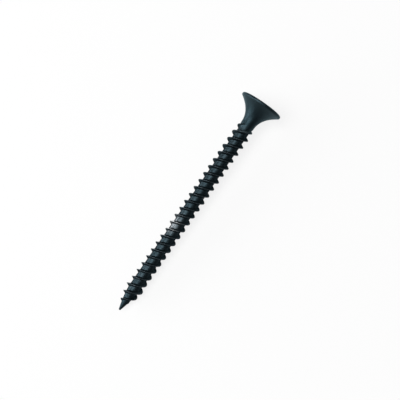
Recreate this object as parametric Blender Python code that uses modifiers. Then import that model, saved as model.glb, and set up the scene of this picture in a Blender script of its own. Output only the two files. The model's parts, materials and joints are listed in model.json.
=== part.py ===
"""Black drywall screw, 3.5 x 48 mm, for fixing board to thin metal studs.

One cold-headed and rolled piece: a bugle head with a cross recess, a plain neck, a shank with a
twin-start fine thread, and a point. Lengths are in metres, and heights are above the point.

The screw is built upright, point down, with its point at the origin. Then it is laid on z = 0 as it
comes to rest by itself: on the rim of its head and on a crest near its point.
"""

import math

import bmesh
import bpy
from mathutils import Matrix, Vector

# Head
OVERALL_LENGTH = 0.0476
HEAD_DIAMETER = 0.0085
RIM_HEIGHT = 0.00052
RIM_ROUND = 0.0003
BUGLE_LENGTH = 0.0042
BUGLE_RIM_ANGLE = math.radians(58)

# Neck and blank, whose point narrows in a curve: at 1 it would be a plain cone
NECK_DIAMETER = 0.00276
NECK_LENGTH = 0.0001
NECK_TAPER = 0.0011
ROOT_DIAMETER = 0.00233
POINT_LENGTH = 0.0052
POINT_CURVE = 1.5
POINT_FLAT = 0.00033

# Thread, a little narrower at the point than under the neck
THREAD_DIAMETER = 0.00368
POINT_THREAD_DIAMETER = 0.00338
THREAD_STARTS = 2
CREST_SPACING = 0.0016
CREST_LAND = 0.00007
FLANK_ANGLE = math.radians(24)
FIRST_CREST_DEPTH = 0.004815

# Thread ends: it runs out under the neck, and each start runs in on the point and swells there
RUN_OUT_DEPTH = 0.0049
RUN_OUT_LENGTH = 0.0015
RUN_IN_HEIGHTS = (0.0017, 0.0004)
RUN_IN_LENGTH = 0.0030
SWELL_RISES = (0.0002, 0.00014)
SWELL_HEIGHT = 0.0046
SWELL_LENGTH = 0.0011

# Cross recess
RECESS_SPAN = 0.0047
RECESS_WING_DEPTH = 0.0024
RECESS_WING_WIDTH = 0.0007
RECESS_WING_DRAFT = math.radians(5.75)
RECESS_WALL_ANGLE = math.radians(26.5)
RECESS_FLOOR_ANGLE = math.radians(20)
RECESS_CORE_DIAMETER = 0.00147

# Fineness of the model
SIDES = 40
BUGLE_STEPS = 10
ROUND_STEPS = 3
CORE_SIDES = 16
CUTTER_RISE = 0.0003
WELD = 1e-7
SHARP_EDGE = math.radians(35)

# Rest: the flat of the rim that the high crests near the point let the screw roll to, and its pitch
RESTING_FLAT = 1
STEEPEST_PITCH = math.radians(30)
PITCH_HALVINGS = 40

# Black phosphate coat on steel
COAT_COLOUR = (0.017, 0.021, 0.025, 1.0)
COAT_ROUGHNESS = 0.42
COAT_METALLIC = 0.6

LEAD = CREST_SPACING * THREAD_STARTS
NECK_TOP = OVERALL_LENGTH - RIM_HEIGHT - BUGLE_LENGTH
NECK_BOTTOM = NECK_TOP - NECK_LENGTH


def clear_scene():
    for thing in list(bpy.data.objects):
        bpy.data.objects.remove(thing, do_unlink=True)


def new_collection(name):
    collection = bpy.data.collections.new(name)
    bpy.context.scene.collection.children.link(collection)
    return collection


def new_object(name, bm, collection):
    mesh = bpy.data.meshes.new(name)
    bm.to_mesh(mesh)
    bm.free()
    thing = bpy.data.objects.new(name, mesh)
    collection.objects.link(thing)
    return thing


def phosphate_coat():
    material = bpy.data.materials.new("black_phosphate_coat")
    material.use_nodes = True
    shader = material.node_tree.nodes["Principled BSDF"]
    shader.inputs["Base Color"].default_value = COAT_COLOUR
    shader.inputs["Roughness"].default_value = COAT_ROUGHNESS
    shader.inputs["Metallic"].default_value = COAT_METALLIC
    return material


def clamped(share):
    return min(max(share, 0.0), 1.0)


def bugle_point(share):
    """(radius, height) on the trumpet curve, from the rim at 0 to the neck at 1."""
    rim_radius = HEAD_DIAMETER / 2
    neck_radius = NECK_DIAMETER / 2
    rim_height = OVERALL_LENGTH - RIM_HEIGHT
    corner_height = rim_height - (rim_radius - neck_radius) / math.tan(BUGLE_RIM_ANGLE)
    rest = 1 - share
    radius = neck_radius + (rim_radius - neck_radius) * rest**2
    height = rim_height * rest**2 + 2 * corner_height * share * rest + NECK_TOP * share**2
    return radius, height


def head_profile():
    """(radius, height) points from the middle of the face, over the rim and down to the neck."""
    rim_radius = HEAD_DIAMETER / 2
    profile = [(0.0, OVERALL_LENGTH)]
    for step in range(ROUND_STEPS + 1):
        turn = math.pi / 2 * step / ROUND_STEPS
        radius = rim_radius - RIM_ROUND * (1 - math.sin(turn))
        profile.append((radius, OVERALL_LENGTH - RIM_ROUND * (1 - math.cos(turn))))
    for step in range(BUGLE_STEPS + 1):
        profile.append(bugle_point(step / BUGLE_STEPS))
    return profile


def thread_profile(top):
    """(radius, height) points down one lead of full thread, a ridge for each start."""
    root = ROOT_DIAMETER / 2
    crest = THREAD_DIAMETER / 2
    half_land = CREST_LAND / 2
    half_foot = half_land + (crest - root) * math.tan(FLANK_ANGLE)
    profile = []
    for start in range(THREAD_STARTS):
        middle = top - CREST_SPACING * start
        profile.append((root, middle + half_foot))
        profile.append((crest, middle + half_land))
        profile.append((crest, middle - half_land))
        profile.append((root, middle - half_foot))
    profile.append((root, top - LEAD + half_foot))
    return profile


def screwed(profile, rise=0.0, turns=1):
    """The surface that a profile sweeps as it turns about Z, and as it sinks by rise each turn."""
    bm = bmesh.new()
    points = [bm.verts.new((radius, 0.0, height)) for radius, height in profile]
    for upper, lower in zip(points, points[1:]):
        bm.edges.new((upper, lower))
    carrier = new_object("profile", bm, bpy.context.scene.collection)
    screw = carrier.modifiers.new("turn", "SCREW")
    screw.steps = SIDES
    screw.render_steps = SIDES
    screw.screw_offset = -rise
    screw.angle = -2 * math.pi if rise else 2 * math.pi
    screw.iterations = turns
    bpy.context.view_layer.update()
    swept = bmesh.new()
    swept.from_object(carrier, bpy.context.evaluated_depsgraph_get())
    bpy.data.objects.remove(carrier, do_unlink=True)
    bmesh.ops.remove_doubles(swept, verts=swept.verts, dist=WELD)
    return swept


def core_radius(height):
    """Radius of the blank under the thread: it widens to the neck, and narrows to the point."""
    root = ROOT_DIAMETER / 2
    share = clamped((height - NECK_BOTTOM + NECK_TAPER) / NECK_TAPER)
    shank = root + (NECK_DIAMETER / 2 - root) * share * share * (3 - 2 * share)
    left = 1 - clamped(height / POINT_LENGTH)
    return shank - (root - POINT_FLAT / 2) * left**POINT_CURVE


def thread_end_share(start, height):
    """0 where a start has run out or not yet run in, and 1 where it stands at its full height."""
    run_out_top = OVERALL_LENGTH - RUN_OUT_DEPTH
    run_out = clamped((run_out_top - height) / RUN_OUT_LENGTH)
    run_in = clamped((height - RUN_IN_HEIGHTS[start]) / RUN_IN_LENGTH)
    return math.sin(math.pi / 2 * min(run_out, run_in))


def full_rise(start, height):
    """How far a start's crest stands out of the blank, but for its ends."""
    along = height / OVERALL_LENGTH
    diameter = POINT_THREAD_DIAMETER + (THREAD_DIAMETER - POINT_THREAD_DIAMETER) * along
    swell = SWELL_RISES[start] * math.exp(-(((height - SWELL_HEIGHT) / SWELL_LENGTH) ** 2))
    return (diameter - ROOT_DIAMETER) / 2 + swell


def shape_ridges(bm, first_crest):
    """Fits the full thread to the blank: its root follows the core, and its ridges run out.

    Where a ridge has run out, its feet part, so that the bare blank keeps even rows of points.
    """
    for point in bm.verts:
        angle = math.atan2(point.co.y, point.co.x)
        below = (first_crest + LEAD * angle / (2 * math.pi) - point.co.z) / CREST_SPACING
        ridge = round(below)
        start = ridge % THREAD_STARTS
        middle = first_crest + LEAD * angle / (2 * math.pi) - ridge * CREST_SPACING
        offset = point.co.z - middle
        share = thread_end_share(start, middle)
        rise = full_rise(start, middle) * share
        on_crest = abs(offset) < CREST_LAND
        if not on_crest:
            parting = CREST_SPACING / 4 * (1 - share) ** 3
            half_foot = CREST_LAND / 2 + rise * math.tan(FLANK_ANGLE) + parting
            offset = math.copysign(half_foot, offset)
        height = middle + offset
        radius = core_radius(height)
        if on_crest:
            radius = core_radius(middle) + rise
        point.co = (radius * math.cos(angle), radius * math.sin(angle), height)


def all_at(points, height):
    return all(math.isclose(point.co.z, height, abs_tol=WELD) for point in points)


def cut_across(bm, height, upward):
    """Cuts off what lies beyond a height and returns the edges of the open end."""
    bmesh.ops.bisect_plane(
        bm,
        geom=bm.verts[:] + bm.edges[:] + bm.faces[:],
        dist=WELD,
        plane_co=(0, 0, height),
        plane_no=(0, 0, 1 if upward else -1),
        clear_outer=True,
    )
    return [edge for edge in bm.edges if edge.is_boundary and all_at(edge.verts, height)]


def threaded_blank():
    """The threaded shank and its point, open at the neck."""
    first_crest = OVERALL_LENGTH - FIRST_CREST_DEPTH
    top = first_crest + LEAD * math.ceil(FIRST_CREST_DEPTH / LEAD)
    turns = math.ceil(top / LEAD) + 2
    bm = screwed(thread_profile(top), rise=LEAD, turns=turns)
    shape_ridges(bm, first_crest)
    cut_across(bm, NECK_BOTTOM, upward=True)
    rim = cut_across(bm, 0.0, upward=False)
    bmesh.ops.edgeloop_fill(bm, edges=rim)
    return bm


def headed_blank():
    """The whole screw but for its recess, as one closed surface."""
    bm = threaded_blank()
    head = screwed(head_profile())
    swept = bpy.data.meshes.new("head")
    head.to_mesh(swept)
    head.free()
    bm.from_mesh(swept)
    bpy.data.meshes.remove(swept)
    open_ends = [edge for edge in bm.edges if edge.is_boundary]
    bmesh.ops.bridge_loops(bm, edges=open_ends)
    bmesh.ops.dissolve_degenerate(bm, dist=WELD, edges=bm.edges)
    bmesh.ops.recalc_face_normals(bm, faces=bm.faces)
    return bm


def recess_wing(turn):
    """A cutter for two opposite wings of the recess: shorter and thinner with depth."""
    flare = math.tan(RECESS_WALL_ANGLE)
    floor_half = RECESS_SPAN / 2 - RECESS_WING_DEPTH * flare
    middle_depth = RECESS_WING_DEPTH + floor_half * math.tan(RECESS_FLOOR_ANGLE)
    top_half = RECESS_SPAN / 2 + CUTTER_RISE * flare
    outline = (
        (-top_half, CUTTER_RISE),
        (-floor_half, -RECESS_WING_DEPTH),
        (0.0, -middle_depth),
        (floor_half, -RECESS_WING_DEPTH),
        (top_half, CUTTER_RISE),
    )
    bm = bmesh.new()
    loops = []
    for side in (-1, 1):
        loop = []
        for along, height in outline:
            widening = (height + RECESS_WING_DEPTH) * math.tan(RECESS_WING_DRAFT)
            across = side * (RECESS_WING_WIDTH / 2 + widening)
            loop.append(bm.verts.new((along, across, OVERALL_LENGTH + height)))
        bm.faces.new(loop)
        loops.append(loop)
    near, far = loops
    for index in range(len(outline)):
        after = (index + 1) % len(outline)
        bm.faces.new((near[index], near[after], far[after], far[index]))
    bmesh.ops.rotate(bm, verts=bm.verts, matrix=Matrix.Rotation(turn, 3, "Z"))
    bmesh.ops.recalc_face_normals(bm, faces=bm.faces)
    return bm


def recess_core():
    """A cutter for the round middle of the recess, between its wings."""
    height = RECESS_WING_DEPTH + CUTTER_RISE
    floor_radius = RECESS_CORE_DIAMETER / 2
    bm = bmesh.new()
    bmesh.ops.create_cone(
        bm,
        cap_ends=True,
        segments=CORE_SIDES,
        radius1=floor_radius,
        radius2=floor_radius + height * math.tan(RECESS_WING_DRAFT),
        depth=height,
    )
    middle = OVERALL_LENGTH + CUTTER_RISE - height / 2
    bmesh.ops.translate(bm, verts=bm.verts, vec=(0, 0, middle))
    return bm


def cut(screw, name, bm, collection):
    cutter = new_object(name, bm, collection)
    cutter.parent = screw
    cutter.hide_render = True
    cutter.display_type = "WIRE"
    modifier = screw.modifiers.new(name, "BOOLEAN")
    modifier.operation = "DIFFERENCE"
    modifier.object = cutter


def resting_pitch(lying, points):
    """How far the point drops for the screw to touch down at both ends."""
    balance = OVERALL_LENGTH / 2
    level, steep = 0.0, STEEPEST_PITCH
    for _ in range(PITCH_HALVINGS):
        pitch = (level + steep) / 2
        placed = [Matrix.Rotation(-pitch, 4, "Y") @ lying @ point for point in points]
        if min(placed, key=lambda place: place.z).x > balance:
            level = pitch
        else:
            steep = pitch
    return pitch


def lay_down(screw):
    """Lays the screw on z = 0 and over the origin, its head towards +X, on a flat of its rim."""
    bpy.context.view_layer.update()
    evaluated = screw.evaluated_get(bpy.context.evaluated_depsgraph_get())
    points = [point.co.copy() for point in evaluated.data.vertices]
    on_side = Matrix(((0, 0, 1, 0), (0, -1, 0, 0), (1, 0, 0, 0), (0, 0, 0, 1)))
    roll = (2 * RESTING_FLAT + 1) * math.pi / SIDES
    lying = on_side @ Matrix.Rotation(roll, 4, "Z")
    resting = Matrix.Rotation(-resting_pitch(lying, points), 4, "Y") @ lying
    placed = [resting @ point for point in points]
    low = Vector([min(place[axis] for place in placed) for axis in range(3)])
    high = Vector([max(place[axis] for place in placed) for axis in range(3)])
    middle = (low + high) / 2
    screw.matrix_world = Matrix.Translation((-middle.x, -middle.y, -low.z)) @ resting


def main():
    clear_scene()
    parts = new_collection("drywall_screw")
    cutters = new_collection("cutters")
    screw = new_object("drywall_screw", headed_blank(), parts)
    cut(screw, "recess_wings_1", recess_wing(0.0), cutters)
    cut(screw, "recess_wings_2", recess_wing(math.pi / 2), cutters)
    cut(screw, "recess_middle", recess_core(), cutters)
    screw.data.materials.append(phosphate_coat())
    screw.data.shade_smooth()
    screw.data.set_sharp_from_angle(angle=SHARP_EDGE)
    lay_down(screw)


main()
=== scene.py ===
"""Looks of the black drywall screw: its fine threaded mesh, its phosphate coat and its stage.

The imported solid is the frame: it gives the screw's place, its length and the way it lies. The mesh is
built in the screw's own frame, point at the origin and head towards +Z, and then laid where the solid
is. Lengths are in metres, and heights are above the point.
"""

import json
import math

import bmesh
import bpy
from bpy.props import FloatProperty, FloatVectorProperty, IntProperty, PointerProperty
from mathutils import Matrix, Vector, noise


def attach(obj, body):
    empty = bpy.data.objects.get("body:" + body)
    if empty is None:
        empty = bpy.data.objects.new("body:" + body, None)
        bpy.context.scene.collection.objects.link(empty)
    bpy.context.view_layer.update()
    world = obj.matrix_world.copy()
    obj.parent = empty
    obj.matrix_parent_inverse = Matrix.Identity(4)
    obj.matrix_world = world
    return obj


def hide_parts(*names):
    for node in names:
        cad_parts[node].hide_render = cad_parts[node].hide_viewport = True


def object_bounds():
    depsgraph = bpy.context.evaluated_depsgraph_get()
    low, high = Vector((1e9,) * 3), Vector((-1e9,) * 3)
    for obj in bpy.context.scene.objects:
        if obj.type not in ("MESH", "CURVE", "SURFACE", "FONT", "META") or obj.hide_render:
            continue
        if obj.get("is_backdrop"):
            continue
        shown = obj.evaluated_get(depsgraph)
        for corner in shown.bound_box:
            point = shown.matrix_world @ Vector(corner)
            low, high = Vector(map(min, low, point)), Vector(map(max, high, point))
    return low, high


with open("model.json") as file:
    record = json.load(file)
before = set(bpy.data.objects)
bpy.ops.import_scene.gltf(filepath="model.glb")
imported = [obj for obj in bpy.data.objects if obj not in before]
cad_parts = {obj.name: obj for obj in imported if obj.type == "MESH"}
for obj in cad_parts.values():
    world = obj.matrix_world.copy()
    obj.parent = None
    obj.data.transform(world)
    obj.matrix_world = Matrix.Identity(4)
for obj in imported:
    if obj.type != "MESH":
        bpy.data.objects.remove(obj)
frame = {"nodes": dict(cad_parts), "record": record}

bl_info = {
    "name": "Drywall Screw",
    "version": (1, 0, 0),
    "blender": (4, 5, 0),
    "location": "View3D > Sidebar > Screw",
    "description": "Builds a black bugle-head drywall screw with a twin-start fine thread",
    "category": "Add Mesh",
}

NODE = "drywall_screw"

MM = 0.001

# Distances within which points count as one, as on a cut, and as on the solid's end or the head's face
TIGHT = 1e-7
ON_CUT = 1e-6
ON_FACE = 0.01 * MM

# How far the screw has rolled about its axis to where it lies still: one and a half of the rim's sides
RIM_SIDES_OF_SOLID = 40
RESTING_ROLL = 1.5 * 2 * math.pi / RIM_SIDES_OF_SOLID

THREAD_STARTS = 2

# Rows of the thread's mesh, as shares of half a crest's land, of a flank and of half the root
LAND_ROWS = (0.6, 1.2)
FLANK_ROWS = (0.15, 0.45, 0.75, 0.9, 1.0)
ROOT_ROWS = (0.07, 0.16, 0.42, 0.7)

# The most that a low crest is rounded, as shares of its rise
MOST_CREST_ROUND = 0.3
MOST_ROOT_ROUND = 0.5

# Fineness and softness of the head, the recess and the tip
RIM_STEPS = 8
RIM_LAND_SHARE = 0.35
RIM_SOFTNESS = 0.12
RIM_SOFT_SHARE = 0.01
BUGLE_STEPS = 40
WINGS = 4
CORNER_STEPS = 3
MIDDLE_STEPS = 6
MOUTH_STEPS = 4
CUTTER_RISE = 0.3 * MM
TIP_STEPS = 8
TIP_ROUND = 0.12 * MM
TIP_TOP = 0.3 * MM
TIP_GAP = 0.05 * MM
SHARP_ANGLE = math.radians(40)

# Unevenness of the crests, and the bruised crest's place round the screw
NOISE_ROUND = 1.7
BRUISE_TURN = math.radians(-90)
BRUISE_SPREAD = math.radians(35)

# Rubbed edges: how strong the wear is, and how far it reaches
RIM_RUB = 0.08
RIM_RUB_REACH = 0.22 * MM
MOUTH_RUB = 0.7
CREST_RUB = 0.65
CREST_RUB_FROM = 0.62
CREST_RUB_CURVE = 1.5

# The patch of the shank that is worn bare
BARE_TURN = math.radians(-64)
BARE_SPREAD = math.radians(58)
BARE_HEIGHT = 19.6 * MM
BARE_LENGTH = 1.5 * MM
BARE_AMOUNT = 1.5
STEEL_AMOUNT = 3.0

# The coat: the painted shade at the feet of the crests, its shade on each part, and how its patches and
# specks vary
ROOT_SHADE_HEIGHT = 0.12
ROOT_SHADE_SPREAD = 0.16
ROOT_SHADE_AMOUNT = 0.8
ROOT_SHADE_SHARE = 0.35
DARK_POINT = 4.5 * MM
DARK_POINT_FADE = 2.5 * MM
HEAD_SHADE = 0.85
# The recess's coat is made paler, as painted light for the light that the recess lacks
RECESS_PAINTED_LIGHT = 1.3
BLOOM_ROUGHNESS = 0.4
CLOUD_STRETCH = (0.7, 1.0, 1.0)
CLOUD_RANGE = (0.3, 0.7)
SPECK_RANGE = (0.35, 0.7)
SPECK_AMOUNT = 0.5
BREAK_RANGE = (0.35, 0.65)
LEAST_BREAK = 0.25
RUB_PATCHES = 0.35
BARE_PATCHES = 0.5
ROUGHNESS_SWAY = 0.05
WORN_SMOOTHER = 0.10

CAMERA_NEAR = 1 * MM
CAMERA_FAR = 10.0


# Place of the solid

def axis_of_solid():
    """The direction from the point to the head, which is also the way that the head's face looks."""
    return Vector(frame["record"]["mounts"][0]["axis"]).normalized()


def tip_and_length_of_solid():
    axis = axis_of_solid()
    points = [point.co for point in frame["nodes"][NODE].data.vertices]
    along = [point.dot(axis) for point in points]
    low = min(along)
    at_tip = [point for point, height in zip(points, along) if height - low < ON_FACE]
    tip = sum(at_tip, Vector()) / len(at_tip)
    return tip, max(along) - low


AXIS = axis_of_solid()
TIP, LENGTH = tip_and_length_of_solid()
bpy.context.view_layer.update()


def lying_matrix():
    """The screw's own frame in the world: X up but for the pitch and roll, and Z towards the head."""
    side = Vector((0, -1, 0))
    up = side.cross(AXIS)
    columns = Matrix((up, side, AXIS)).transposed().to_4x4()
    return Matrix.Translation(TIP) @ columns @ Matrix.Rotation(RESTING_ROLL, 4, "Z")


# Values that a user would change

def length(label, text, default):
    return FloatProperty(
        name=label, description=text, default=default, min=0.0, unit="LENGTH", precision=6
    )


def angle(label, text, degrees):
    return FloatProperty(name=label, description=text, default=math.radians(degrees), subtype="ANGLE")


def share(label, text, default):
    return FloatProperty(
        name=label, description=text, default=default, min=0.0, max=1.0, subtype="FACTOR"
    )


def number(label, text, default, least=0.0):
    return FloatProperty(name=label, description=text, default=default, min=least)


def colour(label, text, default):
    return FloatVectorProperty(
        name=label, description=text, default=default, min=0.0, max=1.0, size=3, subtype="COLOR"
    )


class ScrewSizes(bpy.types.PropertyGroup):
    overall_length: length("Length", "From the point to the head's face", LENGTH)
    head_diameter: length("Head", "Diameter of the head", 8.5 * MM)
    rim_height: length("Rim height", "From the face down to the start of the bugle", 0.52 * MM)
    rim_round: length("Rim round", "Radius of the edge between the face and the rim", 0.3 * MM)
    bugle_length: length("Bugle length", "From the rim down to the neck", 4.2 * MM)
    bugle_rim_angle: angle("Bugle angle", "Slope of the bugle at the rim, from the axis", 58)
    neck_diameter: length("Neck", "Diameter of the plain neck", 2.76 * MM)
    neck_length: length("Neck length", "Straight stretch under the bugle", 0.1 * MM)
    neck_taper: length("Neck taper", "Stretch on which the neck narrows to the root", 1.1 * MM)
    root_diameter: length("Root", "Diameter between the crests", 2.33 * MM)
    point_length: length("Point length", "Stretch on which the blank narrows to the point", 5.2 * MM)
    point_curve: number("Point curve", "At 1 the point is a plain cone", 1.5, 0.5)
    point_flat: length("Point flat", "Diameter of the blunt end", 0.33 * MM)
    sides: IntProperty(name="Sides", description="Faces round the screw", default=96, min=24, max=256)


class ThreadSizes(bpy.types.PropertyGroup):
    diameter: length("Thread", "Diameter over the crests, under the neck", 3.68 * MM)
    point_diameter: length("Thread at point", "Diameter over the crests, at the point", 3.38 * MM)
    crest_spacing: length("Crest spacing", "From crest to crest along the screw", 1.6 * MM)
    crest_land: length("Crest land", "Width of a crest's top", 0.07 * MM)
    crest_round: length("Crest round", "Softness of a crest's edges", 0.05 * MM)
    root_round: length("Root round", "Softness of the corner at a crest's foot", 0.16 * MM)
    flank_angle: angle("Flank angle", "Slope of a flank from square to the axis", 24)
    first_crest_depth: length("First crest", "Depth of the first crest under the face", 4.815 * MM)
    run_out_depth: length("Run-out depth", "Where the thread ends, under the face", 4.9 * MM)
    run_out_length: length("Run-out length", "Stretch on which the thread fades out", 1.5 * MM)
    run_in_low: length("Run-in, first", "Height where the first start rises", 1.7 * MM)
    run_in_high: length("Run-in, second", "Height where the second start rises", 0.4 * MM)
    run_in_length: length("Run-in length", "Stretch on which a start rises", 3.0 * MM)
    swell_first: length("Swell, first", "Extra rise of the first start by the point", 0.2 * MM)
    swell_second: length("Swell, second", "Extra rise of the second start by the point", 0.14 * MM)
    swell_height: length("Swell height", "Height of the highest crests", 4.6 * MM)
    swell_length: length("Swell length", "Stretch on which crests are higher", 1.1 * MM)
    waviness: length("Waviness", "Unevenness of a rolled crest", 0.012 * MM)
    nick_height: length("Nick height", "Height of the bruised crest", 18.1 * MM)
    nick_depth: length("Nick depth", "How far the bruised crest is pressed in", 0.11 * MM)


class RecessSizes(bpy.types.PropertyGroup):
    span: length("Span", "Across two wings at the face", 4.7 * MM)
    wing_depth: length("Wing depth", "Depth of a wing's floor at its outer end", 2.4 * MM)
    wing_width: length("Wing width", "Width of a wing at its floor", 0.7 * MM)
    wing_draft: angle("Wing draft", "Slope of a wing's sides from the axis", 5.75)
    wall_angle: angle("Wall angle", "Slope of a wing's outer end from the axis", 26.5)
    floor_angle: angle("Floor angle", "Slope of the floor to the middle", 20)
    core_diameter: length("Middle", "Diameter of the round middle at its floor", 1.47 * MM)
    edge_round: length("Edge round", "Radius of the rounded mouth and of a wing's corners", 0.08 * MM)


class ScrewFinish(bpy.types.PropertyGroup):
    coat_dark: colour("Coat, dark", "Darker patches of the phosphate coat", (0.021, 0.039, 0.048))
    coat_pale: colour("Coat, pale", "Paler patches of the phosphate coat", (0.050, 0.075, 0.089))
    rubbed: colour("Rubbed coat", "Where the coat is rubbed thin", (0.15, 0.18, 0.20))
    bared: colour("Bared patch", "Where the coat is worn off", (0.20, 0.22, 0.235))
    steel: colour("Steel", "Where the crests of that patch are rubbed to the steel", (0.50, 0.52, 0.53))
    roughness: share("Roughness", "Of the coat", 0.46)
    recess_roughness: share("Recess roughness", "Of the coat in the recess", 0.40)
    metallic: share("Metallic", "Of the coat", 0.9)
    head_gleam: colour("Head gleam", "Shine of the head, seen along its surface", (0.70, 0.92, 1.0))
    head_bloom: share("Head bloom", "Powder of the coat on the head, which pales its edges", 0.27)
    thread_gleam: colour("Thread gleam", "Shine of the thread, seen along it", (0.35, 0.35, 0.35))
    grain_size: length("Grain", "Size of the coat's crystals", 0.07 * MM)
    mottle_size: length("Mottle", "Size of the coat's patches", 0.9 * MM)
    bump: length("Bump", "Height of the coat's crystals", 0.006 * MM)


class StageSettings(bpy.types.PropertyGroup):
    floor_size: length("Floor", "Side of the floor", 3.0)
    floor_colour: colour("Floor colour", "Of the table, as it lights the screw", (0.4, 0.4, 0.4))
    floor_seen: colour("Floor seen", "Of the table, as the camera sees it", (0.92, 0.92, 0.92))
    floor_glow: share("Floor glow", "How much of the seen white is the floor's own, at the screw", 0.8)
    floor_fade: length("Floor fade", "Distance at which all of the seen white is the floor's own", 0.25)
    floor_mirrored: share("Floor mirrored", "How much white of its own the floor shows in metal", 0.1)
    world_level: number("World", "Strength of the even light", 0.05)
    key_power: number("Key light", "Power of the high side light", 1.8)
    fill_power: number("Fill light", "Power of the low side light", 3.0)
    face_power: number("Face light", "Power of the light before the face", 0.35)
    camera_distance: length("Camera", "From the axis to the camera, square to the axis", 127 * MM)
    camera_along: length("Camera along", "Height above the point that the camera stands at", 32.54 * MM)
    look_along: length("Look along", "Height above the point that the camera looks at", 26.14 * MM)
    look_aside: length("Look aside", "How far beside the axis the camera looks", 0.68 * MM)
    screw_turn: angle("Screw turn", "Direction of the head in the picture, from the right", 55.19)
    lens: number("Lens", "Focal length on a 36 mm frame", 60.34, 1.0)


def settings(context):
    return context.scene.drywall_screw


class DrywallScrewSettings(bpy.types.PropertyGroup):
    screw: PointerProperty(type=ScrewSizes)
    thread: PointerProperty(type=ThreadSizes)
    recess: PointerProperty(type=RecessSizes)
    finish: PointerProperty(type=ScrewFinish)
    stage: PointerProperty(type=StageSettings)


# Shape of the blank and its thread

def clamped(value):
    return min(max(value, 0.0), 1.0)


def smooth_min(a, b, width):
    """The lesser of a and b, with the corner between them rounded over a width."""
    if width <= 0:
        return min(a, b)
    blend = max(width - abs(a - b), 0.0) / width
    return min(a, b) - blend * blend * width / 4


def neck_bottom(sizes):
    return sizes.overall_length - sizes.rim_height - sizes.bugle_length - sizes.neck_length


def core_radius(sizes, height):
    """Radius of the blank under the thread: it widens to the neck, and narrows to the point."""
    root = sizes.root_diameter / 2
    near_neck = clamped((height - neck_bottom(sizes) + sizes.neck_taper) / sizes.neck_taper)
    shank = root + (sizes.neck_diameter / 2 - root) * near_neck**2 * (3 - 2 * near_neck)
    left = 1 - clamped(height / sizes.point_length)
    return shank - (root - sizes.point_flat / 2) * left**sizes.point_curve


def thread_end_share(sizes, thread, start, height):
    """0 where a start has run out or not yet run in, and 1 where it stands at its full height."""
    run_out_top = sizes.overall_length - thread.run_out_depth
    run_out = clamped((run_out_top - height) / thread.run_out_length)
    lowest = (thread.run_in_low, thread.run_in_high)[start]
    run_in = clamped((height - lowest) / thread.run_in_length)
    return math.sin(math.pi / 2 * min(run_out, run_in))


def full_rise(sizes, thread, start, height):
    """How far a start's crest stands out of the blank, but for its ends."""
    along = height / sizes.overall_length
    diameter = thread.point_diameter + (thread.diameter - thread.point_diameter) * along
    swell = (thread.swell_first, thread.swell_second)[start]
    swell *= math.exp(-(((height - thread.swell_height) / thread.swell_length) ** 2))
    return (diameter - sizes.root_diameter) / 2 + swell


def ridge_height(thread, offset, rise):
    """Height of a ridge over the blank, at an offset along the screw from its middle."""
    flank = rise - (abs(offset) - thread.crest_land / 2) / math.tan(thread.flank_angle)
    topped = smooth_min(flank, rise, min(thread.crest_round, rise * MOST_CREST_ROUND))
    return -smooth_min(-topped, 0.0, min(thread.root_round, rise * MOST_ROOT_ROUND))


def row_offsets(sizes, thread):
    """Offsets of the rows of points across one ridge at full height: close at the crest and the feet."""
    half_land = thread.crest_land / 2
    flank = (thread.diameter - sizes.root_diameter) / 2 * math.tan(thread.flank_angle)
    foot = half_land + flank
    half = thread.crest_spacing / 2
    offsets = [half_land * part for part in LAND_ROWS]
    offsets += [half_land + flank * part for part in FLANK_ROWS]
    offsets += [foot + (half - foot) * part for part in ROOT_ROWS]
    return [-offset for offset in reversed(offsets)] + [0.0] + offsets + [half]


def fitted_offset(sizes, thread, offset, rise, ended):
    """A row's offset where the ridge is lower: its feet draw in, and part again on the bare blank."""
    half_land = thread.crest_land / 2
    slope = math.tan(thread.flank_angle)
    half = thread.crest_spacing / 2
    full_foot = half_land + (thread.diameter - sizes.root_diameter) / 2 * slope
    foot = half_land + rise * slope
    size = abs(offset)
    if size <= full_foot:
        fitted = size * foot / full_foot
    else:
        fitted = foot + (size - full_foot) * (half - foot) / (half - full_foot)
    even = half * (size / half) ** 0.5
    fitted += (even - fitted) * ended**3
    return math.copysign(fitted, offset)


def near_angle(turn, middle):
    """How far a turn about the axis is from another, the short way round."""
    return (turn - middle + math.pi) % (2 * math.pi) - math.pi


def bruise(thread, turn, height):
    """1 at the middle of the bruised crest, fading round it."""
    across = near_angle(turn, BRUISE_TURN) / BRUISE_SPREAD
    along = (height - thread.nick_height) / (thread.crest_spacing / 2)
    return math.exp(-across * across - along * along)


def unevenness(turn, height, scale):
    """Smooth noise on the screw's surface, from -1 to 1."""
    place = (math.cos(turn) * NOISE_ROUND, math.sin(turn) * NOISE_ROUND, height / scale)
    return noise.noise(Vector(place))


def ridge_row(bm, sizes, thread, ridge, offset):
    """One turn's row of points along a ridge, at an offset from its middle."""
    first_crest = sizes.overall_length - thread.first_crest_depth
    lead = thread.crest_spacing * THREAD_STARTS
    start = ridge % THREAD_STARTS
    row = []
    for side in range(sizes.sides):
        turn = 2 * math.pi * side / sizes.sides
        middle = first_crest + lead * side / sizes.sides - ridge * thread.crest_spacing
        there = thread_end_share(sizes, thread, start, middle)
        rise = full_rise(sizes, thread, start, middle)
        rise += thread.waviness * unevenness(turn, middle, lead)
        rise -= thread.nick_depth * bruise(thread, turn, middle)
        rise *= there
        placed = fitted_offset(sizes, thread, offset, rise, 1 - there)
        height = middle + placed
        radius = core_radius(sizes, height) + ridge_height(thread, placed, rise)
        row.append(bm.verts.new((radius * math.cos(turn), radius * math.sin(turn), height)))
    return row


def join_rows(bm, rows, rows_a_turn):
    """Faces between each row and the next. A row's end meets the start of the row one turn before."""
    for index, (upper, lower) in enumerate(zip(rows, rows[1:])):
        for side in range(len(upper) - 1):
            bm.faces.new((upper[side], lower[side], lower[side + 1], upper[side + 1]))
        if index >= rows_a_turn:
            before, after = rows[index - rows_a_turn], rows[index - rows_a_turn + 1]
            bm.faces.new((upper[-1], lower[-1], after[0], before[0]))


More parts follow.
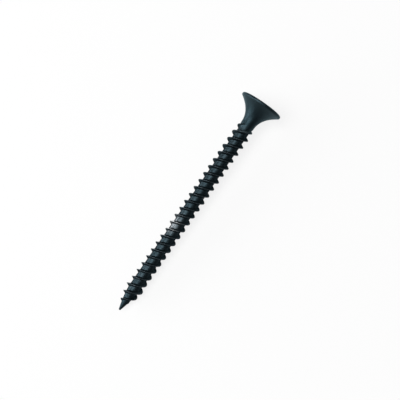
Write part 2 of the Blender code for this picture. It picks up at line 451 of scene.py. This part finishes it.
def threaded_shank(sizes, thread, top, bottom):
    """The threaded part as one sheet whose rows follow the thread, cut square at its top and bottom."""
    first_crest = sizes.overall_length - thread.first_crest_depth
    spacing = thread.crest_spacing
    highest = math.floor((first_crest - top) / spacing) - 1
    lowest = math.ceil((first_crest + spacing * THREAD_STARTS - bottom) / spacing) + 1
    offsets = row_offsets(sizes, thread)
    bm = bmesh.new()
    rows = []
    for ridge in range(highest, lowest):
        rows += [ridge_row(bm, sizes, thread, ridge, offset) for offset in reversed(offsets)]
    join_rows(bm, rows, len(offsets) * THREAD_STARTS)
    cut_across(bm, top, 1)
    cut_across(bm, bottom, -1)
    return bm


def cut_across(bm, height, outwards):
    """Cuts off what lies beyond a height."""
    bmesh.ops.bisect_plane(
        bm,
        geom=bm.verts[:] + bm.edges[:] + bm.faces[:],
        dist=TIGHT,
        plane_co=(0, 0, height),
        plane_no=(0, 0, outwards),
        clear_outer=True,
    )


def join_rings(bm, rings):
    """Faces between each ring of points and the next. A ring of one point closes to it."""
    for upper, lower in zip(rings, rings[1:]):
        sides = max(len(upper), len(lower))
        for side in range(sides):
            after = (side + 1) % sides
            corners = [upper[side % len(upper)], lower[side % len(lower)]]
            corners += [lower[after % len(lower)], upper[after % len(upper)]]
            bm.faces.new(list(dict.fromkeys(corners)))


def turned(profile, sides):
    """The surface that a profile of (radius, height) points makes as it turns about Z."""
    bm = bmesh.new()
    rings = []
    for radius, height in profile:
        if radius < TIGHT:
            rings.append([bm.verts.new((0.0, 0.0, height))])
            continue
        turns = [2 * math.pi * side / sides for side in range(sides)]
        rings.append(
            [bm.verts.new((radius * math.cos(turn), radius * math.sin(turn), height)) for turn in turns]
        )
    join_rings(bm, rings)
    return bm


# Head and its recess

def bugle_point(sizes, part):
    """(radius, height) on the trumpet curve, from the rim at 0 to the neck at 1."""
    rim_radius = sizes.head_diameter / 2
    neck_radius = sizes.neck_diameter / 2
    rim_height = sizes.overall_length - sizes.rim_height
    neck_top = rim_height - sizes.bugle_length
    corner_height = rim_height - (rim_radius - neck_radius) / math.tan(sizes.bugle_rim_angle)
    rest = 1 - part
    radius = neck_radius + (rim_radius - neck_radius) * rest**2
    height = rim_height * rest**2 + 2 * corner_height * part * rest + neck_top * part**2
    return radius, height


def head_profile(sizes):
    """(radius, height) points from the middle of the face, over the rim and down to the neck."""
    rim_radius = sizes.head_diameter / 2
    top = sizes.overall_length
    profile = [(0.0, top)]
    for step in range(RIM_STEPS + 1):
        turn = math.pi / 2 * step / RIM_STEPS
        radius = rim_radius - sizes.rim_round * (1 - math.sin(turn))
        profile.append((radius, top - sizes.rim_round * (1 - math.cos(turn))))
    corner = top - sizes.rim_height
    land = corner + (sizes.rim_height - sizes.rim_round) * RIM_LAND_SHARE
    profile.append((rim_radius, land))
    for step in range(BUGLE_STEPS + 1):
        part = step / BUGLE_STEPS
        radius, height = bugle_point(sizes, part)
        soft = RIM_SOFTNESS * sizes.rim_round * math.exp(-part / RIM_SOFT_SHARE)
        profile.append((radius - soft, height))
    return profile


def mouth_flare(recess, depth):
    """How much wider the rounded mouth is at a depth than the recess's straight walls."""
    left = clamped(1 - depth / recess.edge_round)
    return recess.edge_round * (1 - math.sqrt(1 - left * left))


def recess_outline(recess, depth):
    """(x, y) points round the recess at a depth: four wings with soft corners, and the round middle."""
    flare = mouth_flare(recess, depth)
    draft = (recess.wing_depth - depth) * math.tan(recess.wing_draft) + flare
    half_span = recess.span / 2 - depth * math.tan(recess.wall_angle) + flare
    half_width = recess.wing_width / 2 + draft
    middle = recess.core_diameter / 2 + draft
    corner = []
    for step in range(CORNER_STEPS + 1):
        turn = math.pi / 2 * step / CORNER_STEPS
        along = half_span - recess.edge_round * (1 - math.cos(turn))
        corner.append((along, half_width - recess.edge_round * (1 - math.sin(turn))))
    start = math.asin(half_width / middle)
    quarter = list(corner)
    for step in range(MIDDLE_STEPS + 1):
        turn = start + (math.pi / 2 - 2 * start) * step / MIDDLE_STEPS
        quarter.append((middle * math.cos(turn), middle * math.sin(turn)))
    quarter += [(across, along) for along, across in reversed(corner)]
    points = []
    for _ in range(WINGS):
        points += quarter
        quarter = [(-y, x) for x, y in quarter]
    return points


def recess_cutter(sizes, recess):
    """The recess as a solid: rings from above the face down to the floor, which slopes to the middle."""
    depths = [-CUTTER_RISE]
    for step in range(MOUTH_STEPS + 1):
        depths.append(recess.edge_round * (1 - math.cos(math.pi / 2 * step / MOUTH_STEPS)))
    bm = bmesh.new()
    rings = []
    for depth in depths:
        height = sizes.overall_length - depth
        rings.append([bm.verts.new((x, y, height)) for x, y in recess_outline(recess, depth)])
    slope = math.tan(recess.floor_angle)
    floor_half = recess.span / 2 - recess.wing_depth * math.tan(recess.wall_angle)
    lowest = sizes.overall_length - recess.wing_depth - floor_half * slope
    floor = recess_outline(recess, recess.wing_depth)
    rings.append([bm.verts.new((x, y, lowest + max(abs(x), abs(y)) * slope)) for x, y in floor])
    rings.append([bm.verts.new((0.0, 0.0, lowest))])
    bm.faces.new(rings[0])
    join_rings(bm, rings)
    bmesh.ops.recalc_face_normals(bm, faces=bm.faces)
    return bm


def object_of(name, bm):
    mesh = bpy.data.meshes.new(name)
    bm.to_mesh(mesh)
    bm.free()
    thing = bpy.data.objects.new(name, mesh)
    bpy.context.scene.collection.objects.link(thing)
    return thing


def head_with_recess(sizes, recess):
    """The head, open at the neck, with its recess cut."""
    bm = turned(head_profile(sizes), sizes.sides)
    open_end = [edge for edge in bm.edges if edge.is_boundary]
    bmesh.ops.edgeloop_fill(bm, edges=open_end)
    bmesh.ops.recalc_face_normals(bm, faces=bm.faces)
    blank = object_of("head_blank", bm)
    cutter = object_of("recess", recess_cutter(sizes, recess))
    cut = blank.modifiers.new("recess", "BOOLEAN")
    cut.operation = "DIFFERENCE"
    cut.object = cutter
    bpy.context.view_layer.update()
    made = bmesh.new()
    made.from_object(blank, bpy.context.evaluated_depsgraph_get())
    for helper in (blank, cutter):
        bpy.data.objects.remove(helper, do_unlink=True)
    neck_top = bugle_point(sizes, 1.0)[1]
    cap = [face for face in made.faces if all(abs(p.co.z - neck_top) < ON_CUT for p in face.verts)]
    bmesh.ops.delete(made, geom=cap, context="FACES")
    return made


def tip_profile(sizes, top):
    """(radius, height) points from the top of the tip down to its blunt, rounded end."""
    profile = [(core_radius(sizes, top), top)]
    for step in range(TIP_STEPS, -1, -1):
        turn = math.pi / 2 * step / TIP_STEPS
        height = TIP_ROUND * (1 - math.cos(turn))
        profile.append((core_radius(sizes, height) * math.sin(turn), height))
    return profile


# Whole screw

def boundary_near(bm, height, reach):
    """The edges of the open ends that lie within reach of a height."""
    return [
        edge for edge in bm.edges
        if edge.is_boundary and all(abs(point.co.z - height) < reach for point in edge.verts)
    ]


def add_to(bm, other):
    """Joins another bmesh to this one."""
    carrier = bpy.data.meshes.new("joined")
    other.to_mesh(carrier)
    other.free()
    bm.from_mesh(carrier)
    bpy.data.meshes.remove(carrier)


def whole_screw(sizes, thread, recess):
    """The closed surface of the screw, with its shank bridged to its head and to its tip."""
    top = neck_bottom(sizes)
    bottom = TIP_TOP + TIP_GAP
    bm = threaded_shank(sizes, thread, top, bottom)
    add_to(bm, head_with_recess(sizes, recess))
    add_to(bm, turned(tip_profile(sizes, TIP_TOP), sizes.sides))
    gaps = ((top + sizes.neck_length / 2, sizes.neck_length), (bottom - TIP_GAP / 2, TIP_GAP))
    for middle, reach in gaps:
        bmesh.ops.bridge_loops(bm, edges=boundary_near(bm, middle, reach))
    bmesh.ops.dissolve_degenerate(bm, dist=TIGHT, edges=bm.edges)
    bmesh.ops.recalc_face_normals(bm, faces=bm.faces)
    return bm


def thread_place(sizes, thread, turn, height):
    """(how high on its ridge a point lies, 0 to 1 at the crest; how far that ridge has risen)."""
    first_crest = sizes.overall_length - thread.first_crest_depth
    lead = thread.crest_spacing * THREAD_STARTS
    below = (first_crest + lead * turn / (2 * math.pi) - height) / thread.crest_spacing
    ridge = round(below)
    middle = height + (below - ridge) * thread.crest_spacing
    there = thread_end_share(sizes, thread, ridge % THREAD_STARTS, middle)
    rise = full_rise(sizes, thread, ridge % THREAD_STARTS, middle) * there
    if rise < TIGHT:
        return 0.0, 0.0
    return clamped(ridge_height(thread, height - middle, rise) / rise), there


def rub_at(sizes, thread, recess, place):
    """How much a point stands out to be rubbed: the crests, the rim and the mouth of the recess."""
    radius = math.hypot(place.x, place.y)
    turn = math.atan2(place.y, place.x)
    height = place.z
    rim = sizes.overall_length - sizes.rim_height / 2
    from_rim = math.hypot(radius - sizes.head_diameter / 2, (height - rim) / 2)
    rub = math.exp(-((from_rim / RIM_RUB_REACH) ** 2)) * RIM_RUB
    depth = sizes.overall_length - height
    if TIGHT < depth < recess.edge_round - TIGHT and radius < recess.span / 2 + recess.edge_round:
        rub = MOUTH_RUB
    if height < neck_bottom(sizes):
        on_ridge, there = thread_place(sizes, thread, turn, height)
        exposed = clamped((on_ridge - CREST_RUB_FROM) / (1 - CREST_RUB_FROM))
        rub = max(rub, exposed**CREST_RUB_CURVE * there * CREST_RUB)
    return rub


def bare_at(place):
    """The patch on the shank where the coat is worn pale."""
    turn = math.atan2(place.y, place.x)
    across = near_angle(turn, BARE_TURN) / BARE_SPREAD
    along = (place.z - BARE_HEIGHT) / BARE_LENGTH
    return math.exp(-across * across - along * along)


def painted_root_shade_at(sizes, thread, place):
    """Painted shade at a point: most in the corners at a crest's foot, where the coat is darkened to
    stand in for shade.
    """
    height = place.z
    if height > neck_bottom(sizes):
        return 0.0
    on_ridge, there = thread_place(sizes, thread, math.atan2(place.y, place.x), height)
    return math.exp(-(((on_ridge - ROOT_SHADE_HEIGHT) / ROOT_SHADE_SPREAD) ** 2)) * there


def darker_coat_at(sizes, place):
    """1 on the head, neck and very point, whose coat is made darker, and 0 on the thread and on the
    face, which is left paler as painted light for the little light it gets.
    """
    if sizes.overall_length - place.z < TIGHT:
        return 0.0
    on_head = clamped((place.z - neck_bottom(sizes)) / sizes.neck_taper + 1)
    on_point = clamped((DARK_POINT - place.z) / DARK_POINT_FADE)
    return max(on_head, on_point)


def in_recess(sizes, recess, face):
    """Whether a face belongs to the recess."""
    middle = face.calc_center_median()
    depth = sizes.overall_length - middle.z
    edge = recess.span / 2 - depth * math.tan(recess.wall_angle) + recess.edge_round * 2
    return depth > ON_FACE and math.hypot(middle.x, middle.y) < edge


def above_thread(sizes, thread, place):
    """Whether a point lies above the topmost crest, which the head's coat reaches down to."""
    lead = thread.crest_spacing * THREAD_STARTS
    crest = lead * math.atan2(place.y, place.x) / (2 * math.pi) - thread.first_crest_depth
    past_run_out = (-thread.run_out_depth - crest) % thread.crest_spacing
    return place.z > sizes.overall_length - thread.run_out_depth - past_run_out


def surface_of(sizes, thread, recess, face):
    """Which finish a face has: 0 for the thread, 1 for the head and 2 for the recess."""
    if in_recess(sizes, recess, face):
        return 2
    return 1 if above_thread(sizes, thread, face.calc_center_median()) else 0


def finished_mesh(sizes, thread, recess, name):
    """The mesh with its masks as attributes, and its thread, head and recess in their material slots."""
    bm = whole_screw(sizes, thread, recess)
    rub = bm.verts.layers.float.new("rub")
    bare = bm.verts.layers.float.new("bare")
    painted_root_shade = bm.verts.layers.float.new("painted_root_shade")
    # The next layer is painted shade: it darkens the corners at the crests' feet
    darker_coat = bm.verts.layers.float.new("darker_coat")
    for point in bm.verts:
        point[rub] = rub_at(sizes, thread, recess, point.co)
        point[bare] = bare_at(point.co)
        point[painted_root_shade] = painted_root_shade_at(sizes, thread, point.co)
        point[darker_coat] = darker_coat_at(sizes, point.co)
    for face in bm.faces:
        face.material_index = surface_of(sizes, thread, recess, face)
        face.smooth = True
    mesh = bpy.data.meshes.new(name)
    bm.to_mesh(mesh)
    bm.free()
    mesh.set_sharp_from_angle(angle=SHARP_ANGLE)
    return mesh


# Finishes

def new_group(name, inputs, outputs):
    """An empty shader group with its sockets, each given as name: (type, default)."""
    group = bpy.data.node_groups.new(name, "ShaderNodeTree")
    for label, (kind, default) in inputs.items():
        socket = group.interface.new_socket(name=label, in_out="INPUT", socket_type=kind)
        socket.default_value = default
    for label, kind in outputs.items():
        group.interface.new_socket(name=label, in_out="OUTPUT", socket_type=kind)
    entry = group.nodes.new("NodeGroupInput")
    leave = group.nodes.new("NodeGroupOutput")
    return group, entry, leave


def node(tree, kind, **values):
    """A new node, with values for its sockets by name or for its settings."""
    made = tree.nodes.new(kind)
    for label, value in values.items():
        if hasattr(made, label):
            setattr(made, label, value)
        else:
            made.inputs[label.replace("_", " ")].default_value = value
    return made


def link(tree, source, target):
    tree.links.new(source, target)


def maths(tree, operation, first, second):
    """A maths node. Each operand is a socket or a number."""
    made = tree.nodes.new("ShaderNodeMath")
    made.operation = operation
    for socket, value in zip(made.inputs, (first, second)):
        if isinstance(value, bpy.types.NodeSocket):
            link(tree, value, socket)
        else:
            socket.default_value = value
    return made.outputs[0]


def ranged(tree, value, low, high, to_low=0.0, to_high=1.0):
    """A value moved from one range to another, with its ends held."""
    made = tree.nodes.new("ShaderNodeMapRange")
    made.clamp = True
    limits = {"From Min": low, "From Max": high, "To Min": to_low, "To Max": to_high}
    for label, limit in limits.items():
        made.inputs[label].default_value = limit
    link(tree, value, made.inputs["Value"])
    return made.outputs["Result"]


def mixed(tree, factor, first, second):
    """Two colours mixed by a factor. Each is a socket or a colour."""
    made = tree.nodes.new("ShaderNodeMix")
    made.data_type = "RGBA"
    link(tree, factor, made.inputs["Factor"])
    for label, value in (("A", first), ("B", second)):
        socket = next(s for s in made.inputs if s.name == label and s.type == "RGBA")
        if isinstance(value, bpy.types.NodeSocket):
            link(tree, value, socket)
        else:
            socket.default_value = (*value, 1.0)
    return next(s for s in made.outputs if s.type == "RGBA")


def crystal_grain_group():
    """Fine grain of a phosphate coat: facets of crystals with a little noise between them."""
    group, entry, leave = new_group(
        "crystal grain",
        {"Position": ("NodeSocketVector", (0, 0, 0)), "Per Metre": ("NodeSocketFloat", 1000.0)},
        {"Facets": "NodeSocketFloat", "Specks": "NodeSocketFloat"},
    )
    facets = node(group, "ShaderNodeTexVoronoi", feature="F1")
    specks = node(group, "ShaderNodeTexNoise", Detail=3.0, Roughness=0.65)
    for made in (facets, specks):
        link(group, entry.outputs["Position"], made.inputs["Vector"])
        link(group, entry.outputs["Per Metre"], made.inputs["Scale"])
    link(group, facets.outputs["Distance"], leave.inputs["Facets"])
    link(group, specks.outputs[0], leave.inputs["Specks"])
    return group


def cloudy_coat_group():
    """Slow change of a coat's thickness: patches stretched a little along the screw."""
    group, entry, leave = new_group(
        "cloudy coat",
        {"Position": ("NodeSocketVector", (0, 0, 0)), "Per Metre": ("NodeSocketFloat", 1000.0)},
        {"Patches": "NodeSocketFloat"},
    )
    stretch = node(group, "ShaderNodeMapping")
    stretch.inputs["Scale"].default_value = CLOUD_STRETCH
    link(group, entry.outputs["Position"], stretch.inputs["Vector"])
    clouds = node(group, "ShaderNodeTexNoise", Detail=4.0, Roughness=0.6, Distortion=0.4)
    link(group, stretch.outputs["Vector"], clouds.inputs["Vector"])
    link(group, entry.outputs["Per Metre"], clouds.inputs["Scale"])
    link(group, ranged(group, clouds.outputs[0], *CLOUD_RANGE), leave.inputs["Patches"])
    return group


def broken_wear_group():
    """A mask of wear, broken up so that it comes and goes."""
    group, entry, leave = new_group(
        "broken wear",
        {
            "Mask": ("NodeSocketFloat", 0.0),
            "Position": ("NodeSocketVector", (0, 0, 0)),
            "Per Metre": ("NodeSocketFloat", 1000.0),
            "Amount": ("NodeSocketFloat", 1.0),
        },
        {"Wear": "NodeSocketFloat"},
    )
    breaks = node(group, "ShaderNodeTexNoise", Detail=5.0, Roughness=0.7)
    link(group, entry.outputs["Position"], breaks.inputs["Vector"])
    link(group, entry.outputs["Per Metre"], breaks.inputs["Scale"])
    broken = ranged(group, breaks.outputs[0], *BREAK_RANGE, LEAST_BREAK, 1.0)
    worn = maths(group, "MULTIPLY", entry.outputs["Mask"], broken)
    link(group, maths(group, "MULTIPLY", worn, entry.outputs["Amount"]), leave.inputs["Wear"])
    return group


def placed_group(tree, group, position, per_metre):
    made = tree.nodes.new("ShaderNodeGroup")
    made.node_tree = group
    link(tree, position, made.inputs["Position"])
    made.inputs["Per Metre"].default_value = per_metre
    return made


def mask(tree, name):
    made = tree.nodes.new("ShaderNodeAttribute")
    made.attribute_name = name
    return made.outputs["Fac"]


def coat_colour(tree, finish, shade, patches, specks):
    """Phosphate in paler and darker patches, plain on the head, and darkened with painted shade in the
    corners at the crests' feet.
    """
    dark = [part * shade for part in finish.coat_dark]
    pale = [part * shade for part in finish.coat_pale]
    coat = mixed(tree, patches, dark, pale)
    coat = mixed(tree, ranged(tree, specks, *SPECK_RANGE, 0.0, SPECK_AMOUNT), coat, pale)
    # Painted shade: the corners at the crests' feet are darkened towards the dark coat
    painted_root_shade = maths(tree, "MULTIPLY", mask(tree, "painted_root_shade"), ROOT_SHADE_AMOUNT)
    coat = mixed(tree, painted_root_shade, coat, [part * ROOT_SHADE_SHARE for part in dark])
    # A darker, plain coat on the head, neck and point; the face is left out, so that it stays paler as
    # painted light
    return mixed(tree, mask(tree, "darker_coat"), coat, dark)


def wear_at(tree, wear, position, worn_mask, patch_size, amount):
    """The broken wear under one of the mesh's masks."""
    made = placed_group(tree, wear, position, 1 / patch_size)
    link(tree, worn_mask, made.inputs["Mask"])
    made.inputs["Amount"].default_value = amount
    return made.outputs["Wear"]


def phosphate(name, finish, groups, shade, roughness, gleam, bloom):
    """The coat: black phosphate over steel, paler where it is rubbed, and darkened with painted shade at
    the crests' feet.
    """
    material = bpy.data.materials.new(name)
    material.use_nodes = True
    tree = material.node_tree
    shader = tree.nodes["Principled BSDF"]
    grain, clouds, wear = groups
    position = tree.nodes.new("ShaderNodeTexCoord").outputs["Object"]
    patches = placed_group(tree, clouds, position, 1 / finish.mottle_size).outputs["Patches"]
    crystals = placed_group(tree, grain, position, 1 / finish.grain_size)
    coat = coat_colour(tree, finish, shade, patches, crystals.outputs["Specks"])

    rub_mask = mask(tree, "rub")
    bare_mask = mask(tree, "bare")
    rubbed = wear_at(tree, wear, position, rub_mask, finish.mottle_size * RUB_PATCHES, 1.0)
    bared = wear_at(tree, wear, position, bare_mask, finish.mottle_size * BARE_PATCHES, BARE_AMOUNT)
    rubbed_through = maths(tree, "MULTIPLY", rub_mask, bare_mask)
    coat = mixed(tree, rubbed, coat, finish.rubbed)
    coat = mixed(tree, bared, coat, finish.bared)
    coat = mixed(tree, maths(tree, "MULTIPLY", rubbed_through, STEEL_AMOUNT), coat, finish.steel)
    link(tree, coat, shader.inputs["Base Color"])

    worn = maths(tree, "MAXIMUM", rubbed, bared)
    uneven = ranged(tree, patches, 0.0, 1.0, roughness + ROUGHNESS_SWAY, roughness - ROUGHNESS_SWAY)
    smoother = maths(tree, "MULTIPLY", worn, -WORN_SMOOTHER)
    link(tree, maths(tree, "ADD", uneven, smoother), shader.inputs["Roughness"])
    metal = ranged(tree, worn, 0.0, 1.0, finish.metallic, 1.0)
    link(tree, metal, shader.inputs["Metallic"])

    height = maths(tree, "ADD", crystals.outputs["Facets"], crystals.outputs["Specks"])
    bump = node(tree, "ShaderNodeBump", Strength=1.0, Distance=finish.bump)
    link(tree, height, bump.inputs["Height"])
    link(tree, bump.outputs["Normal"], shader.inputs["Normal"])
    shader.inputs["Specular Tint"].default_value = (*gleam, 1.0)
    shader.inputs["Sheen Weight"].default_value = bloom
    shader.inputs["Sheen Roughness"].default_value = BLOOM_ROUGHNESS
    shader.inputs["Sheen Tint"].default_value = (*finish.head_gleam, 1.0)
    return material


class DrywallScrewBuild(bpy.types.Operator):
    """Builds the screw where the solid lies, with its coat"""

    bl_idname = "drywall_screw.build"
    bl_label = "Build Screw"
    bl_options = {"REGISTER", "UNDO"}

    def execute(self, context):
        values = settings(context)
        mesh = finished_mesh(values.screw, values.thread, values.recess, "screw_body")
        mesh.transform(lying_matrix())
        screw = bpy.data.objects.new("screw_body", mesh)
        context.scene.collection.objects.link(screw)
        groups = (crystal_grain_group(), cloudy_coat_group(), broken_wear_group())
        finish = values.finish
        for name, shade, roughness, gleam, bloom in (
            ("thread_phosphate", 1.0, finish.roughness, finish.thread_gleam, 0.0),
            ("head_phosphate", HEAD_SHADE, finish.roughness, finish.head_gleam, finish.head_bloom),
            # The recess's coat is made paler, as painted light for the shade inside it
            ("recess_phosphate", RECESS_PAINTED_LIGHT, finish.recess_roughness, finish.thread_gleam, 0.0),
        ):
            mesh.materials.append(phosphate(name, finish, groups, shade, roughness, gleam, bloom))
        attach(screw, "root")
        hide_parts(NODE)
        return {"FINISHED"}


# Stage

def floor_material(stage):
    """White table: lit and shadowed as paper near the screw, and seen as plain white further away."""
    material = bpy.data.materials.new("white_table")
    material.use_nodes = True
    tree = material.node_tree
    tree.nodes.clear()
    path = tree.nodes.new("ShaderNodeLightPath")
    paper = tree.nodes.new("ShaderNodeBsdfDiffuse")
    seen = mixed(tree, path.outputs["Is Camera Ray"], stage.floor_colour, stage.floor_seen)
    link(tree, seen, paper.inputs["Color"])
    glow = node(tree, "ShaderNodeEmission", Strength=1.0)
    glow.inputs["Color"].default_value = (1.0, 1.0, 1.0, 1.0)
    mirrored = maths(tree, "MAXIMUM", path.outputs["Is Glossy Ray"], path.outputs["Is Transmission Ray"])
    mirrored = maths(tree, "MULTIPLY", mirrored, stage.floor_mirrored)
    away = node(tree, "ShaderNodeVectorMath", operation="LENGTH")
    link(tree, tree.nodes.new("ShaderNodeTexCoord").outputs["Object"], away.inputs[0])
    share_of_white = ranged(tree, away.outputs["Value"], 0.0, stage.floor_fade, stage.floor_glow, 1.0)
    direct = maths(tree, "MULTIPLY", path.outputs["Is Camera Ray"], share_of_white)
    mix = tree.nodes.new("ShaderNodeMixShader")
    link(tree, maths(tree, "MAXIMUM", mirrored, direct), mix.inputs[0])
    link(tree, paper.outputs[0], mix.inputs[1])
    link(tree, glow.outputs[0], mix.inputs[2])
    output = tree.nodes.new("ShaderNodeOutputMaterial")
    link(tree, mix.outputs[0], output.inputs["Surface"])
    return material


def build_floor(stage, height):
    bm = bmesh.new()
    bmesh.ops.create_grid(bm, x_segments=1, y_segments=1, size=stage.floor_size / 2)
    floor = object_of("floor", bm)
    floor.location.z = height
    floor.data.materials.append(floor_material(stage))
    floor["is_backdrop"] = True


def aim(thing, place, target):
    thing.location = place
    thing.rotation_euler = (target - place).to_track_quat("-Z", "Y").to_euler()


def area_light(name, place, target, width, depth, power):
    data = bpy.data.lights.new(name, "AREA")
    data.shape = "RECTANGLE"
    data.size = width
    data.size_y = depth
    data.energy = power
    light = bpy.data.objects.new(name, data)
    bpy.context.scene.collection.objects.link(light)
    aim(light, place, target)


def even_light(stage):
    """White where the camera sees past the table, and a weak even light elsewhere."""
    world = bpy.data.worlds.new("even_light")
    bpy.context.scene.world = world
    world.use_nodes = True
    tree = world.node_tree
    background = tree.nodes["Background"]
    background.inputs["Color"].default_value = (1.0, 1.0, 1.0, 1.0)
    seen = tree.nodes.new("ShaderNodeLightPath").outputs["Is Camera Ray"]
    link(tree, ranged(tree, seen, 0.0, 1.0, stage.world_level, 1.0), background.inputs["Strength"])


def build_camera(stage):
    """The camera over the lying screw, turned in its own plane as the picture is."""
    laid = lying_matrix()
    place = laid @ Vector((stage.camera_distance, 0, stage.camera_along))
    target = laid @ Vector((0, stage.look_aside, stage.look_along))
    ahead = (target - place).normalized()
    along = (AXIS - ahead * AXIS.dot(ahead)).normalized()
    aside = ahead.cross(along)
    turn = stage.screw_turn
    right = along * math.cos(turn) + aside * math.sin(turn)
    up = along * math.sin(turn) - aside * math.cos(turn)
    data = bpy.data.cameras.new("camera")
    data.lens = stage.lens
    data.clip_start = CAMERA_NEAR
    data.clip_end = CAMERA_FAR
    camera = bpy.data.objects.new("camera", data)
    bpy.context.scene.collection.objects.link(camera)
    columns = Matrix((right, up, -ahead)).transposed().to_4x4()
    camera.matrix_world = Matrix.Translation(place) @ columns
    bpy.context.scene.camera = camera


class DrywallScrewStage(bpy.types.Operator):
    """Sets the white table, the soft studio light and the camera"""

    bl_idname = "drywall_screw.stage"
    bl_label = "Set Stage"
    bl_options = {"REGISTER", "UNDO"}

    def execute(self, context):
        stage = settings(context).stage
        low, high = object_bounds()
        centre = (low + high) / 2
        build_floor(stage, low.z)
        even_light(stage)
        # Each lamp's name, direction and distance from the screw, width and depth in metres, and power
        for name, direction, reach, width, depth, power in (
            ("key_light", (-0.18, 0.20, 0.93), 0.45, 0.30, 0.30, stage.key_power),
            ("fill_light", (-0.48, 0.86, 0.19), 0.50, 0.60, 0.30, stage.fill_power),
            ("face_light", (0.92, -0.25, 0.30), 0.50, 0.30, 0.30, stage.face_power),
        ):
            place = centre + Vector(direction).normalized() * reach
            area_light(name, place, centre, width, depth, power)
        build_camera(stage)
        context.scene.view_settings.view_transform = "Standard"
        return {"FINISHED"}


class DrywallScrewPanel(bpy.types.Panel):
    """Lists the screw's operators and its values"""

    bl_idname = "VIEW3D_PT_drywall_screw"
    bl_label = "Drywall Screw"
    bl_space_type = "VIEW_3D"
    bl_region_type = "UI"
    bl_category = "Screw"

    def draw(self, context):
        layout = self.layout
        values = settings(context)
        for operator in (DrywallScrewBuild, DrywallScrewStage):
            layout.operator(operator.bl_idname)
        for group in (values.screw, values.thread, values.recess, values.finish, values.stage):
            box = layout.box()
            for label in group.__annotations__:
                box.prop(group, label)


CLASSES = (
    ScrewSizes,
    ThreadSizes,
    RecessSizes,
    ScrewFinish,
    StageSettings,
    DrywallScrewSettings,
    DrywallScrewBuild,
    DrywallScrewStage,
    DrywallScrewPanel,
)


def register():
    for made in CLASSES:
        bpy.utils.register_class(made)
    bpy.types.Scene.drywall_screw = PointerProperty(type=DrywallScrewSettings)


def unregister():
    del bpy.types.Scene.drywall_screw
    for made in reversed(CLASSES):
        bpy.utils.unregister_class(made)


def main():
    register()
    bpy.ops.drywall_screw.build()
    bpy.ops.drywall_screw.stage()


if __name__ == "__main__":
    main()
